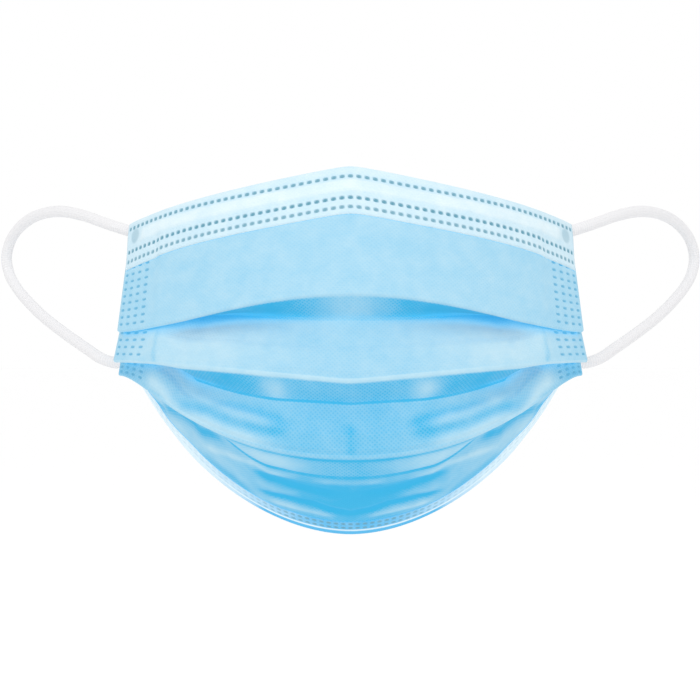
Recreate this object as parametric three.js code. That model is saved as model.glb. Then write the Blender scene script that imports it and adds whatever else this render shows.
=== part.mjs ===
// Pleated three-ply face mask with ear loops, in the shape that it takes when it is worn: the side welds hold
// the pleats flat, and the nose and chin pull the middle of each pleat open.
// Millimetres, +Z up, the front faces -Y. The origin is where the mask sits on the bridge of the nose: the
// middle of the top edge, on the inner face of the cloth.
import * as THREE from "three";

// Cloth
const CLOTH = 1.0; // the three plies, bonded into one laminate
const GAP = 0.3; // clearance between pieces, and between the layers of a flat pleat
const LAYER = CLOTH + GAP; // from one folded layer to the next
const PLEAT_DEPTH = 8.5; // how far a pleat tucks up behind the panel above it
const WELD_START = 0.776; // share of the half width where the side weld begins and the pleats lie flat

// Bands that are folded over the top and bottom edges
const BAND = 1.0; // thickness
const BAND_REACH = 0.98; // share of the half width where a band ends, just short of the side edge
const TOP_BAND_HEIGHT = 15.5;
const HEM_HEIGHT = 7.5;

// Nose wire: a flat strip between the cloth and the top band
const WIRE_WIDTH = 4.0;
const WIRE_THICKNESS = 0.8;
const WIRE_DROP = 6.0; // from the top edge to its centre line
const WIRE_REACH = 0.85; // share of the half width where it ends

// Ear loops: round knitted elastic
const LOOP_DIAMETER = 3.6;
const LOOP_SIDES = 8;
const LOOP_STEPS = 54;

const SECTIONS = 36; // steps across the width of the mask

// How the height of a line changes from the middle of the mask (0) to its side edge (1)
const slope = (bend) => (u) => (Math.hypot(u, bend) - bend) / (Math.hypot(1, bend) - bend);
const wave = (u) => Math.sin((u * Math.PI) / 2) ** 2;
const arch = (bend) => (u) => Math.sin((slope(bend)(u) * Math.PI) / 2);
const bowl = (power) => (u) => u ** power;

// The lines that shape the cloth, from the top edge down. In plan each line is an arc from the middle of the
// mask at midY to its side edge at (sideX, sideY).
const LINES = {
  top: { midY: -0.5, midZ: -2.1, sideX: 68.8, sideY: 44, sideZ: -18.3, rise: slope(0.03) },
  ridge1: { midY: -19, midZ: -39.1, sideX: 72.4, sideY: 24, sideZ: -50.5, rise: wave },
  ridge2: { midY: -21, midZ: -65.8, sideX: 74.2, sideY: 25.5, sideZ: -60.1, rise: arch(0.15) },
  ridge3: { midY: -17, midZ: -88.9, sideX: 71.8, sideY: 32, sideZ: -64.4, rise: bowl(1.6) },
  bottom: { midY: 18, midZ: -111.4, sideX: 67.5, sideY: 47, sideZ: -62.5, rise: bowl(1.88) },
};

// The panels between those lines: `crown` is how far the middle of a panel swells. `opening` is the angle, in
// degrees, that the pleat under its ridge is turned over by at the middle of the mask, where 180 is shut, and
// `shutting` is the power by which it shuts on the way out to the weld.
const PANELS = [
  { from: "top", to: "ridge1", crown: 0.8, steps: 5, opening: 73, shutting: 1.4 },
  { from: "ridge1", to: "ridge2", crown: 0.8, steps: 3, opening: 84, shutting: 3 },
  { from: "ridge2", to: "ridge3", crown: 1.0, steps: 3, opening: 78, shutting: 3 },
  { from: "ridge3", to: "bottom", crown: 0.8, steps: 5 },
];

// The top band's front leg: how far down each bend is, and how far the band is lifted by the wire under it
const TOP_BAND_BENDS = [
  { down: 2.6, lift: 0 },
  { down: 3.6, lift: 1 },
  { down: 8.4, lift: 1 },
  { down: 9.4, lift: 0 },
  { down: TOP_BAND_HEIGHT, lift: 0 },
];

// The centre line of the ear loop on the +X side, from the weld at the top corner round the ear to the weld at
// the bottom corner. The other loop is its mirror image.
const LOOP_ROUTE = [
  [62.3, 34.8, -21.4],
  [64.6, 41.0, -20.4],
  [68.1, 47.0, -19.0],
  [74.5, 52.5, -16.9],
  [79.0, 58.5, -15.3],
  [83.2, 64.0, -13.7],
  [87.5, 70.0, -12.4],
  [92.0, 76.5, -11.4],
  [96.5, 83.0, -11.2],
  [100.8, 89.0, -11.8],
  [105.0, 95.0, -13.3],
  [109.2, 101.0, -16.3],
  [112.2, 105.2, -20.4],
  [113.5, 107.0, -25.6],
  [112.4, 105.2, -31.0],
  [109.4, 100.2, -35.8],
  [105.5, 94.0, -40.0],
  [99.8, 84.5, -45.0],
  [92.4, 72.5, -50.2],
  [84.2, 60.0, -55.4],
  [78.2, 51.6, -58.9],
  [73.4, 48.2, -60.0],
  [69.2, 45.9, -58.8],
  [65.4, 42.2, -58.3],
  [63.5, 37.4, -60.2],
];

const ply = new THREE.MeshStandardMaterial({ color: "#a9dcf4", roughness: 0.9 });
const paleBand = new THREE.MeshStandardMaterial({ color: "#e4f5fc", roughness: 0.9 });
const coatedWire = new THREE.MeshStandardMaterial({ color: "#f4f6f7", roughness: 0.5 });
const elastic = new THREE.MeshStandardMaterial({ color: "#ececee", roughness: 0.95 });

// A section is a fan of points across the cloth at one place along the width. In its own plane `out` points
// away from the face and `up` is +Z; `along` is what is left, towards the side edge.
function frameAt(u) {
  const { midY, sideX, sideY } = LINES.ridge2;
  const turn = 2 * Math.atan((sideY - midY) / sideX) * u;
  return {
    out: new THREE.Vector3(Math.sin(turn), -Math.cos(turn), 0),
    along: new THREE.Vector3(Math.cos(turn), Math.sin(turn), 0),
  };
}

function linePoint({ midY, midZ, sideX, sideY, sideZ, rise }, u) {
  const turn = 2 * Math.atan((sideY - midY) / sideX);
  const radius = sideX / Math.sin(turn);
  return new THREE.Vector3(
    radius * Math.sin(turn * u),
    midY + radius * (1 - Math.cos(turn * u)),
    midZ + (sideZ - midZ) * rise(Math.abs(u)),
  );
}

// A point in a section: `p` is (out, up) in its plane
const inSection = (frame, world) => ({
  p: new THREE.Vector2(world.dot(frame.out), world.z),
  along: world.dot(frame.along),
});
const inWorld = (frame, { p, along }) =>
  frame.out.clone().multiplyScalar(p.x).addScaledVector(frame.along, along).setZ(p.y);

const step = (from, direction, distance) => ({
  p: from.p.clone().addScaledVector(direction, distance),
  along: from.along,
});

// The unit vector that is turned from `down` towards the face by an angle
function turned(down, angle) {
  const inward = new THREE.Vector2(down.y, -down.x);
  return down.clone().multiplyScalar(Math.cos(angle)).addScaledVector(inward, Math.sin(angle));
}

// How far a pleat is turned over at u: its opening angle at the middle, flat from the weld out
function pleatAngle({ opening, shutting }, u) {
  const share = Math.min(Math.abs(u) / WELD_START, 1) ** shutting;
  return THREE.MathUtils.degToRad(opening + (180 - opening) * share);
}

// The middle of the cloth at u, from the top edge down through the pleats to the bottom edge, panel by panel
function clothSection(u) {
  const frame = frameAt(u);
  const panels = [];
  const fullness = Math.max(1 - (u / WELD_START) ** 2, 0);
  let start = inSection(frame, linePoint(LINES.top, u));
  for (const { to, crown, steps, ...pleat } of PANELS) {
    const end = inSection(frame, linePoint(LINES[to], u));
    const down = end.p.clone().sub(start.p).normalize();
    const outward = turned(down, -Math.PI / 2);
    const points = [];
    for (let i = 0; i <= steps; i++) {
      const t = i / steps;
      const swell = crown * fullness * 4 * t * (1 - t);
      const p = start.p.clone().lerp(end.p, t).addScaledVector(outward, swell);
      points.push({ p, along: THREE.MathUtils.lerp(start.along, end.along, t) });
    }
    panels.push(points);
    if (pleat.opening === undefined) break;
    const angle = pleatAngle(pleat, u);
    const ridgeBack = step(end, turned(down, angle / 2), LAYER);
    const valley = step(ridgeBack, turned(down, angle), PLEAT_DEPTH);
    start = step(valley, turned(down, angle / 2), LAYER);
    panels.push([ridgeBack, valley]);
  }
  return { frame, panels };
}

// A line of section points moved sideways by a distance, away from the face where it is positive
function moved(points, distance) {
  const normals = points.slice(1).map((q, i) => {
    const d = q.p.clone().sub(points[i].p).normalize();
    return new THREE.Vector2(-d.y, d.x);
  });
  return points.map((point, i) => {
    const before = normals[Math.max(i - 1, 0)];
    const after = normals[Math.min(i, normals.length - 1)];
    const mitre = before.clone().add(after).divideScalar(1 + before.dot(after));
    return step(point, mitre, typeof distance === "number" ? distance : distance[i]);
  });
}

// The point of a line of section points that is `far` from its first one
function walk(points, far) {
  let left = far;
  for (let i = 1; i < points.length; i++) {
    const length = points[i].p.distanceTo(points[i - 1].p);
    if (left <= length || i === points.length - 1) {
      const t = left / length;
      return {
        p: points[i - 1].p.clone().lerp(points[i].p, t),
        along: THREE.MathUtils.lerp(points[i - 1].along, points[i].along, t),
      };
    }
    left -= length;
  }
}

// A closed wall from rings, one for each section: `front` and `back` are lines of section points
function wall(rings) {
  const count = rings[0].front.length;
  const positions = [];
  for (const { frame, front, back } of rings)
    for (const point of [...front, ...back.toReversed()]) positions.push(...inWorld(frame, point).toArray());
  const size = 2 * count;
  const index = [];
  const quad = (a, b, c, d) => index.push(a, b, c, a, c, d);
  for (let i = 1; i < rings.length; i++)
    for (let j = 0; j < size; j++) {
      const next = (j + 1) % size;
      quad((i - 1) * size + j, (i - 1) * size + next, i * size + next, i * size + j);
    }
  const last = (rings.length - 1) * size;
  for (let j = 0; j < count - 1; j++) {
    const k = size - 1 - j;
    quad(j, k, k - 1, j + 1);
    quad(last + j, last + j + 1, last + k - 1, last + k);
  }
  const geometry = new THREE.BufferGeometry();
  geometry.setAttribute("position", new THREE.Float32BufferAttribute(positions, 3));
  geometry.setIndex(index);
  return geometry;
}

// The wall made by a function of u that gives a ring, out to `reach` of the half width
function acrossMask(reach, ringAt) {
  const rings = [];
  for (let i = 0; i <= SECTIONS; i++) rings.push(ringAt(reach * ((2 * i) / SECTIONS - 1)));
  return wall(rings);
}

const thickened = (frame, middle, thickness) => ({
  frame,
  front: moved(middle, thickness / 2),
  back: moved(middle, -thickness / 2),
});

function pleatedBody() {
  return acrossMask(1, (u) => {
    const { frame, panels } = clothSection(u);
    return thickened(frame, panels.flat(), CLOTH);
  });
}

// A band's middle line lies this far in front of the middle of the cloth
const BAND_STAND_OFF = CLOTH / 2 + GAP + BAND / 2;

// A lip over the edge of the cloth, then a leg down its front: `edge` starts at that edge
function lippedBand(edge, bends, lift) {
  const middle = [edge[0], ...bends.map(({ down }) => walk(edge, down))];
  const leg = moved(middle, [BAND_STAND_OFF, ...bends.map((bend) => BAND_STAND_OFF + (bend.lift ?? 0) * lift)]);
  const beyond = edge[0].p.clone().sub(edge[1].p).normalize();
  const corner = step(leg[0], beyond, GAP + BAND / 2);
  const lip = step(moved(edge.slice(0, 2), -CLOTH / 2)[0], beyond, GAP + BAND / 2);
  return [lip, corner, ...leg.slice(1)];
}

function topBand() {
  return acrossMask(BAND_REACH, (u) => {
    const { frame, panels } = clothSection(u);
    return thickened(frame, lippedBand(panels[0], TOP_BAND_BENDS, WIRE_THICKNESS + GAP), BAND);
  });
}

function bottomHem() {
  const bends = [{ down: HEM_HEIGHT / 2 }, { down: HEM_HEIGHT }];
  return acrossMask(BAND_REACH, (u) => {
    const { frame, panels } = clothSection(u);
    // The last panel is followed upwards, so its front is on the other side of the line
    const upwards = panels.at(-1).toReversed();
    const flipped = upwards.map(({ p, along }) => ({ p: new THREE.Vector2(-p.x, p.y), along }));
    const ring = thickened(frame, lippedBand(flipped, bends, 0), BAND);
    const restored = (points) => points.map(({ p, along }) => ({ p: new THREE.Vector2(-p.x, p.y), along }));
    return { frame, front: restored(ring.back), back: restored(ring.front) };
  });
}

function noseWire() {
  return acrossMask(WIRE_REACH, (u) => {
    const { frame, panels } = clothSection(u);
    const strip = [-WIRE_WIDTH / 2, WIRE_WIDTH / 2].map((across) => walk(panels[0], WIRE_DROP + across));
    return thickened(frame, moved(strip, CLOTH / 2 + GAP + WIRE_THICKNESS / 2), WIRE_THICKNESS);
  });
}

function earLoop(side) {
  const route = LOOP_ROUTE.map(([x, y, z]) => new THREE.Vector3(side * x, y, z));
  const section = new THREE.Shape();
  for (let i = 0; i < LOOP_SIDES; i++) {
    const angle = (2 * Math.PI * (i + 0.5)) / LOOP_SIDES;
    const x = (LOOP_DIAMETER / 2) * Math.cos(angle);
    const y = (LOOP_DIAMETER / 2) * Math.sin(angle);
    if (i === 0) section.moveTo(x, y);
    else section.lineTo(x, y);
  }
  section.closePath();
  return new THREE.ExtrudeGeometry(section, {
    steps: LOOP_STEPS,
    extrudePath: new THREE.CatmullRomCurve3(route, false, "centripetal"),
  });
}

function piece(name, geometry, material) {
  const mesh = new THREE.Mesh(geometry, material);
  mesh.name = name;
  return mesh;
}

const mask = new THREE.Group();
mask.add(
  piece("pleated_body", pleatedBody(), ply),
  piece("top_band", topBand(), paleBand),
  piece("nose_wire", noseWire(), coatedWire),
  piece("bottom_hem", bottomHem(), paleBand),
  piece("ear_loop_left", earLoop(-1), elastic),
  piece("ear_loop_right", earLoop(1), elastic),
);

export default mask;
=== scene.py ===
"""A pleated ear-loop face mask, dressed over its CAD frame.

The cloth is made as it is in the factory: flat plies are ruled with the lines of their weld dots, folded
along three pleats, and then opened over the nose and chin to the shape that the mask has when it is worn.
Sizes are in millimetres until a mesh is made, and metres after that.
"""

import logging
import math
from dataclasses import dataclass
from enum import Enum

import bmesh
import bpy
import numpy as np
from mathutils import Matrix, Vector


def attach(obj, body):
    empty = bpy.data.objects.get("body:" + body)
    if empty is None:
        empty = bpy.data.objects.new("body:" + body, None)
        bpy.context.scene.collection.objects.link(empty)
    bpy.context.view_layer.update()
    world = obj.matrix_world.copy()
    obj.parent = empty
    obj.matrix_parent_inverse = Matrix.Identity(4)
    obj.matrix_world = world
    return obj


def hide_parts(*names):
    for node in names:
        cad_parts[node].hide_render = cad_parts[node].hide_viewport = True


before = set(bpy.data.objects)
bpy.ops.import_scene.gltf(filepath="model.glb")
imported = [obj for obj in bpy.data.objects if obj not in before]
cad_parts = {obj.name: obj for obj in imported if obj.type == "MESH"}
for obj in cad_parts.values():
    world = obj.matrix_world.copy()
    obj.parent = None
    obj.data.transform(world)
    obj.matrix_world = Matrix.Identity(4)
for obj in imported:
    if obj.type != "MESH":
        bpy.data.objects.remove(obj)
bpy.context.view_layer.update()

MM = 0.001
LOG = logging.getLogger("mask")
FLAT_SPAN = 200.0  # the side, in mm of flat cloth, of the square that fills a piece's UV map


class Rise(Enum):
    """How the height of a fold line changes from the middle of the mask to its side edge."""

    SLOPE = "straight, rounded at the middle"
    WAVE = "level at both ends"
    ARCH = "rounded at the middle, level at the side"
    BOWL = "a power of the distance"
    CURL = "a power of the distance, level at the side"


def eased(low: float, high: float, value: np.ndarray) -> np.ndarray:
    """Gives a smooth step.

    Args:
        low: Where the step starts, at 0.
        high: Where it ends, at 1.
        value: The values to ease.

    Returns:
        The eased values, from 0 to 1.
    """
    t = np.clip((value - low) / (high - low), 0.0, 1.0)
    return t * t * (3.0 - 2.0 * t)


def unit(vectors: np.ndarray) -> np.ndarray:
    """Returns the vectors at length 1, along the last axis."""
    return vectors / np.maximum(np.linalg.norm(vectors, axis=-1, keepdims=True), 1e-9)


def distances(points: np.ndarray) -> np.ndarray:
    """Returns how far along a line each of its points is."""
    return np.concatenate(((0.0,), np.cumsum(np.linalg.norm(np.diff(points, axis=0), axis=1))))


def bent(t: np.ndarray, start: np.ndarray, knee: np.ndarray, end: np.ndarray) -> np.ndarray:
    """Returns points of a rounded corner, from its start at t = 0 to its end at t = 1."""
    return (1 - t) ** 2 * start + 2 * t * (1 - t) * knee + t**2 * end


@dataclass(frozen=True)
class FoldLine:
    """A line across the mask: in plan it is an arc from the middle of the mask to its side edge.

    Attributes:
        mid_y: Depth at the middle.
        mid_z: Height at the middle.
        side_x: Half of the width at the side edges.
        side_y: Depth at the side edges.
        side_z: Height at the side edges.
        rise: How the height changes on the way.
        shape: The bend at the middle of a slope or an arch, or the power of a bowl or a curl.
    """

    mid_y: float
    mid_z: float
    side_x: float
    side_y: float
    side_z: float
    rise: Rise
    shape: float = 0.0

    def climb(self, u: np.ndarray) -> np.ndarray:
        """Returns the share of the climb that is done at u, the share of the half width."""
        far = np.abs(u)
        if self.rise is Rise.BOWL:
            return far**self.shape
        if self.rise is Rise.CURL:
            return np.sin(far**self.shape * math.pi / 2)
        if self.rise is Rise.WAVE:
            return np.sin(far * math.pi / 2) ** 2
        straight = (np.hypot(far, self.shape) - self.shape) / (math.hypot(1, self.shape) - self.shape)
        return straight if self.rise is Rise.SLOPE else np.sin(straight * math.pi / 2)

    def turn(self) -> float:
        """Returns the angle, in radians, that the arc turns through on its way to the side."""
        return 2 * math.atan((self.side_y - self.mid_y) / self.side_x)

    def points(self, u: np.ndarray) -> np.ndarray:
        """Returns the line's points at u, one row each."""
        turn = self.turn()
        radius = self.side_x / math.sin(turn)
        return np.stack(
            (
                radius * np.sin(turn * u),
                self.mid_y + radius * (1 - np.cos(turn * u)),
                self.mid_z + (self.side_z - self.mid_z) * self.climb(u),
            ),
            axis=-1,
        )


@dataclass(frozen=True)
class Pleat:
    """A pleat under a ridge.

    Attributes:
        opening: How far it is turned over at the middle of the mask, in degrees, where 180 is shut.
        waist: How far it is turned over just before the side weld.
        closing: Shares of the half width between which it goes from the one to the other.
        flare: How far its valley reaches past its ridge at the side edge, in mm.
        flare_start: Share of the half width where that starts.
        shutting: Share of the half width over which the side weld shuts it.
    """

    opening: float
    waist: float
    closing: tuple[float, float]
    flare: float = 0.0
    flare_start: float = 0.8
    shutting: float = 0.17

    def angle(self, u: np.ndarray, weld_start: float) -> np.ndarray:
        """Works out how far the pleat is turned over.

        Args:
            u: Shares of the half width.
            weld_start: Where the side weld shuts it.

        Returns:
            The angles, in radians.
        """
        far = np.abs(u)
        share = np.clip((far - self.closing[0]) / (self.closing[1] - self.closing[0]), 0.0, 1.0)
        eased_share = (share + eased(0.0, 1.0, share)) / 2
        shut = eased(weld_start - self.shutting, weld_start, far)
        before = self.opening + (self.waist - self.opening) * eased_share
        return np.radians(before + (180 - before) * shut)


@dataclass(frozen=True)
class PleatedForm:
    """The middle surface of the cloth, folded and opened.

    The cloth runs down from the top edge through 13 runs: panel, fold, under layer, fold, and so on to the
    last panel. Even runs are straight in a section and odd ones are folds.

    Attributes:
        half_width: Half of the width of the flat mask.
        layer: From one layer of a pleat to the next in the side weld.
        open_layer: The same at the middle, where the fold is crisp.
        crisp_end: Share of the half width where the layers start to part.
        pleat_depth: How far a pleat tucks up behind the panel above it.
        weld_start: Share of the half width where the side weld starts and the pleats lie flat.
        lines: The top edge, the three ridges and the bottom edge.
        pleats: The pleat under each ridge.
        crowns: How far the middle of each panel swells.
        ear: How far the top corners stand out past the side edge, in mm.
        ear_start: Share of the half width where a corner starts to stand out.
        ear_drop: Shares of the top panel between which the corner goes back to the side edge.
    """

    half_width: float = 87.5
    layer: float = 0.75
    open_layer: float = 0.5
    crisp_end: float = 0.3
    pleat_depth: float = 8.5
    weld_start: float = 0.776
    lines: tuple[FoldLine, ...] = (
        FoldLine(-0.5, -2.1, 68.8, 44.0, -18.3, Rise.SLOPE, 0.03),
        FoldLine(-19.0, -38.7, 71.8, 24.0, -50.0, Rise.WAVE),
        FoldLine(-21.0, -64.75, 73.1, 25.5, -59.4, Rise.ARCH, 0.03),
        FoldLine(-17.0, -87.75, 71.9, 32.0, -63.7, Rise.CURL, 2.05),
        FoldLine(18.0, -111.4, 67.5, 47.0, -62.5, Rise.BOWL, 1.88),
    )
    pleats: tuple[Pleat, ...] = (
        Pleat(62, 128, (0.06, 0.64), 4.2),
        Pleat(62, 112, (0.25, 0.74)),
        Pleat(54, 122, (0.30, 0.66)),
    )
    crowns: tuple[float, ...] = (0.8, 0.8, 1.0, 0.8)
    ear: float = 1.5
    ear_start: float = 0.84
    ear_drop: tuple[float, float] = (0.02, 0.36)

    def axes(self, u: np.ndarray) -> tuple[np.ndarray, np.ndarray]:
        """Returns the level directions away from the face and towards the side edge at each u."""
        turn = self.lines[2].turn() * u
        level = np.zeros_like(u)
        out = np.stack((np.sin(turn), -np.cos(turn), level), axis=-1)
        along = np.stack((np.cos(turn), np.sin(turn), level), axis=-1)
        return out, along

    def layers(self, u: np.ndarray) -> np.ndarray:
        """Returns how far apart the layers of a pleat are at each u."""
        parted = eased(self.crisp_end, self.weld_start, np.abs(u))
        return self.open_layer + (self.layer - self.open_layer) * parted

    def corners(self, u: np.ndarray) -> np.ndarray:
        """Works out the corners of the folded path in each section.

        Args:
            u: Shares of the half width.

        Returns:
            An array of section, corner and (out, up, along).
        """
        out, along = self.axes(u)

        def local(line: FoldLine) -> np.ndarray:
            """Returns a fold line's points as (out, up, along)."""
            p = line.points(u)
            return np.stack(((p * out).sum(-1), p[:, 2], (p * along).sum(-1)), axis=-1)

        def moved(point: np.ndarray, way: np.ndarray, far: float | np.ndarray) -> np.ndarray:
            """Returns the point moved in its section."""
            return point + far * np.concatenate((way, np.zeros((len(u), 1))), axis=1)

        path = [local(self.lines[0])]
        layer = self.layers(u)[:, None]
        for line, pleat in zip(self.lines[1:-1], self.pleats):
            ridge = local(line)
            down = unit((ridge - path[-1])[:, :2])
            inward = np.stack((down[:, 1], -down[:, 0]), axis=-1)
            angle = pleat.angle(u, self.weld_start)[:, None]
            half_turned = np.cos(angle / 2) * down + np.sin(angle / 2) * inward
            turned = np.cos(angle) * down + np.sin(angle) * inward
            ridge_back = moved(ridge, half_turned, layer)
            valley = moved(ridge_back, turned, self.pleat_depth)
            valley[:, 2] += pleat.flare * np.sign(u) * eased(pleat.flare_start, 1.0, np.abs(u))
            path += [ridge, ridge_back, valley, moved(valley, half_turned, layer)]
        path.append(local(self.lines[-1]))
        return np.stack(path, axis=1)

    def run_length(self, u: np.ndarray, run: int) -> np.ndarray:
        """Returns the length of a run in each section."""
        path = self.corners(u)[:, run : run + 2, :2]
        return np.linalg.norm(path[:, 1] - path[:, 0], axis=-1)

    def surface(self, u: np.ndarray, runs: np.ndarray, shares: np.ndarray) -> np.ndarray:
        """Places a grid on the folded cloth.

        Args:
            u: Shares of the half width, one for each column.
            runs: The run that each row lies in.
            shares: How far along its run each place is, as columns by rows.

        Returns:
            Points, as columns by rows by (x, y, z), in mm.
        """
        path = self.corners(u)
        out, along = self.axes(u)
        fullness = np.maximum(1 - (u / self.weld_start) ** 2, 0.0)
        last = path.shape[1] - 2
        ways = path[:, 1:] - path[:, :-1]
        ways = ways / np.linalg.norm(ways[..., :2], axis=-1)[..., None]
        cut = self.layers(u)[:, None] / 2
        grid = np.empty((len(u), len(runs), 3))
        for row, run in enumerate(runs):
            t = shares[:, row][:, None]
            if run % 2:
                middle = (path[:, run] + path[:, run + 1]) / 2
                first = path[:, run] - cut * ways[:, run - 1]
                final = path[:, run + 1] + cut * ways[:, run + 1]
                early = np.clip(2 * t, 0, 1)
                late = np.clip(2 * t - 1, 0, 1)
                upper = bent(early, first, path[:, run], middle)
                lower = bent(late, middle, path[:, run + 1], final)
                grid[:, row] = np.where(t < 0.5, upper, lower)
                continue
            start = path[:, run] + (cut * ways[:, run] if run else 0)
            end = path[:, run + 1] - (cut * ways[:, run] if run < last else 0)
            point = start + t * (end - start)
            if run % 4 == 0:
                swell = self.crowns[run // 4] * fullness * (1 - np.cos(2 * math.pi * t[:, 0])) / 2
                point[:, 0] -= swell * ways[:, run, 1]
                point[:, 1] += swell * ways[:, run, 0]
            if run == 0:
                corner = eased(self.ear_start, 1.0, np.abs(u)) * (1 - eased(*self.ear_drop, t[:, 0]))
                point[:, 2] += self.ear * np.sign(u) * corner
            grid[:, row] = point
        return (
            grid[..., 0:1] * out[:, None]
            + grid[..., 2:3] * along[:, None]
            + grid[..., 1:2] * np.array((0.0, 0.0, 1.0))
        )


def outward(grid: np.ndarray) -> np.ndarray:
    """Returns the unit normals of a grid of points, on the side away from the face."""
    across = np.gradient(grid, axis=0)
    down = np.gradient(grid, axis=1)
    return unit(np.cross(down, across))


def ruled(*spans: np.ndarray, closest: float = 0.002) -> np.ndarray:
    """Merges lists of ruling places into one.

    Args:
        *spans: The places, in any order.
        closest: Places that are nearer to each other than this become one.

    Returns:
        The places in order.
    """
    places = np.sort(np.concatenate(spans))
    kept = [places[0]]
    for place in places[1:]:
        if place - kept[-1] > closest:
            kept.append(place)
    return np.array(kept)


def flat_map(across: np.ndarray, down: np.ndarray) -> np.ndarray:
    """Returns a grid's places on the flat cloth, as columns by rows by (across, down), in mm."""
    return np.stack(np.broadcast_arrays(across[:, None], down[None, :]), axis=-1)


def cloth_mesh(
    name: str, grid: np.ndarray, flat: np.ndarray, marks: dict[str, np.ndarray], closed: bool = False
) -> bpy.types.Object:
    """Makes a piece from a grid of points.

    Args:
        name: The piece's name.
        grid: Points, as columns by rows by (x, y, z), in mm.
        flat: Where each point lies on the flat cloth, as columns by rows by (across, down), in mm.
        marks: Values to keep on the vertices, by name, as columns by rows.
        closed: Whether the first and last columns meet, as round a cord.

    Returns:
        The object, linked to the scene.
    """
    columns, rows = grid.shape[:2]
    bm = bmesh.new()
    uv = bm.loops.layers.uv.new("flat")
    layers = {mark: bm.verts.layers.float.new(mark) for mark in marks}
    bmesh.ops.create_grid(bm, x_segments=columns - 1, y_segments=rows - 1, size=1.0)
    places = {}
    for vert in bm.verts:
        i = round((vert.co.x + 1) / 2 * (columns - 1))
        j = round((vert.co.y + 1) / 2 * (rows - 1))
        places[vert] = (i, j)
    for face in bm.faces:
        face.smooth = True
        for loop in face.loops:
            i, j = places[loop.vert]
            loop[uv].uv = flat[i, j] / FLAT_SPAN
    for vert, (i, j) in places.items():
        vert.co = Vector(grid[i, j] * MM)
        for mark, values in marks.items():
            vert[layers[mark]] = float(values[i, j])
    if closed:
        bmesh.ops.remove_doubles(bm, verts=bm.verts, dist=1e-6)
        ends = [edge for edge in bm.edges if edge.is_boundary]
        bmesh.ops.holes_fill(bm, edges=ends, sides=0)
        bmesh.ops.recalc_face_normals(bm, faces=bm.faces)
    mesh = bpy.data.meshes.new(name)
    bm.to_mesh(mesh)
    bm.free()
    piece = bpy.data.objects.new(name, mesh)
    bpy.context.collection.objects.link(piece)
    return piece


def thicken(piece: bpy.types.Object, thickness: float) -> None:
    """Gives a sheet its thickness, in mm, half on each side."""
    wall = piece.modifiers.new("thickness", "SOLIDIFY")
    wall.thickness = thickness * MM
    wall.offset = 0.0
    wall.use_rim = True


def linear(colour: str) -> tuple[float, float, float, float]:
    """Turns an sRGB hex colour into linear RGBA."""
    parts = [int(colour[k : k + 2], 16) / 255 for k in (1, 3, 5)]
    return (*(c / 12.92 if c <= 0.04045 else ((c + 0.055) / 1.055) ** 2.4 for c in parts), 1.0)


def add_node(
    tree: bpy.types.NodeTree, kind: str, settings: dict | None = None, links: dict | None = None
) -> bpy.types.Node:
    """Adds a node with its settings and links.

    Args:
        tree: The material's node tree.
        kind: The node's type name.
        settings: Values by name or number of an input socket, or by name of a node property after a dot.
        links: Output sockets to join to inputs, by the input's name or number.

    Returns:
        The node.
    """
    node = tree.nodes.new(kind)
    for key, value in (settings or {}).items():
        if isinstance(key, str) and key.startswith("."):
            setattr(node, key[1:], value)
        else:
            node.inputs[key].default_value = value
    for key, source in (links or {}).items():
        tree.links.new(source, node.inputs[key])
    return node


def new_material(name: str) -> tuple[bpy.types.Material, bpy.types.NodeTree]:
    """Returns a new material and its empty node tree."""
    material = bpy.data.materials.new(name)
    material.use_nodes = True
    material.node_tree.nodes.clear()
    return material, material.node_tree


def calculated(
    tree: bpy.types.NodeTree, operation: str, *terms: float | bpy.types.NodeSocket, clamp: bool = False
) -> bpy.types.NodeSocket:
    """Adds a calculation.

    Args:
        tree: The material's node tree.
        operation: The math node's operation.
        *terms: Its numbers, or the sockets that give them.
        clamp: Whether the result is kept between 0 and 1.

    Returns:
        The result's socket.
    """
    settings = {".operation": operation, ".use_clamp": clamp}
    links = {}
    for place, term in enumerate(terms):
        chosen = links if isinstance(term, bpy.types.NodeSocket) else settings
        chosen[place] = term
    return add_node(tree, "ShaderNodeMath", settings, links).outputs["Value"]


def ranged(
    tree: bpy.types.NodeTree, value: bpy.types.NodeSocket, low: float, high: float, soft: bool = False
) -> bpy.types.NodeSocket:
    """Adds a ramp.

    Args:
        tree: The material's node tree.
        value: What it reads.
        low: The value that gives 0.
        high: The value that gives 1.
        soft: Whether the ramp is eased at both ends.

    Returns:
        The result's socket.
    """
    settings = {".interpolation_type": "SMOOTHSTEP" if soft else "LINEAR", "From Min": low, "From Max": high}
    return add_node(tree, "ShaderNodeMapRange", settings, {"Value": value}).outputs["Result"]


def blended(
    tree: bpy.types.NodeTree,
    share: bpy.types.NodeSocket,
    first: str | bpy.types.NodeSocket,
    second: str | bpy.types.NodeSocket,
) -> bpy.types.NodeSocket:
    """Adds a mix of two colours.

    Args:
        tree: The material's node tree.
        share: How much of the second colour there is.
        first: The first colour, as sRGB hex or a socket.
        second: The second colour, in the same way.

    Returns:
        The result's socket.
    """
    settings = {".data_type": "RGBA"}
    links = {0: share}
    for place, colour in ((6, first), (7, second)):
        if isinstance(colour, str):
            settings[place] = linear(colour)
        else:
            links[place] = colour
    return add_node(tree, "ShaderNodeMix", settings, links).outputs[2]


def mapped(
    tree: bpy.types.NodeTree,
    place: bpy.types.NodeSocket,
    scale: tuple[float, float, float],
    degrees: float = 0.0,
) -> bpy.types.NodeSocket:
    """Adds a mapping for a pattern.

    Args:
        tree: The material's node tree.
        place: The coordinates that it starts from.
        scale: How many repeats there are to a unit of them, on each axis.
        degrees: How far the pattern is turned.

    Returns:
        The new coordinates' socket.
    """
    settings = {"Rotation": (0, 0, math.radians(degrees)), "Scale": scale}
    return add_node(tree, "ShaderNodeMapping", settings, {"Vector": place}).outputs["Vector"]


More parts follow.
